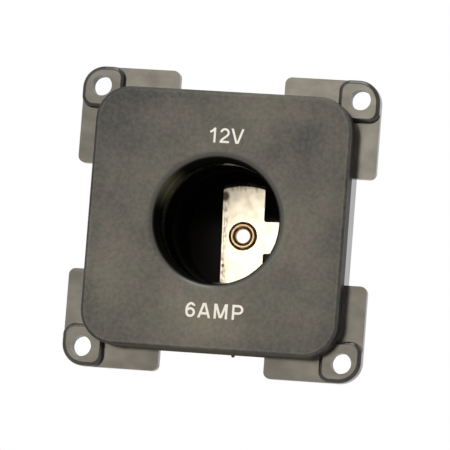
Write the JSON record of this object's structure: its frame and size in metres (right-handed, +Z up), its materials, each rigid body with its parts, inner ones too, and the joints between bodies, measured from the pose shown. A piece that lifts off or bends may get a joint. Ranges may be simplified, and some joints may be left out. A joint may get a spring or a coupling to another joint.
{
  "type": "12 volt plug socket",
  "caption": "Flush-mount square plug socket with corner screw lugs, a round plug barrel, a centre contact with an eyelet, and blade terminals behind.",
  "frame": {"origin": "middle of the four lug screw holes, on the plane of the lugs' backs, which seats on the panel", "axes": "-Y out of the plug opening towards the user, +Z up, +X to the user's right"},
  "size_m": [0.053, 0.0401, 0.053],
  "materials": {
    "grey_plastic": "fine matt texture on the face, glossy on the lugs",
    "black_plastic": "glossy",
    "nickel_plate": "bright plated",
    "brass": "plain",
    "zinc_plate": "bright zinc",
    "white_ink": "matt printing ink"
  },
  "bodies": {
    "root": {"front_moulding": "grey_plastic", "barrel": "black_plastic", "contact_strip": "nickel_plate", "centre_eyelet": "brass", "centre_washer": "zinc_plate", "earth_spring": "nickel_plate", "earth_terminal": "nickel_plate", "earth_eyelet": "brass", "screw_top_left": "zinc_plate", "screw_top_right": "zinc_plate", "screw_bottom_left": "zinc_plate", "screw_bottom_right": "zinc_plate"}
  },
  "joints": []
}
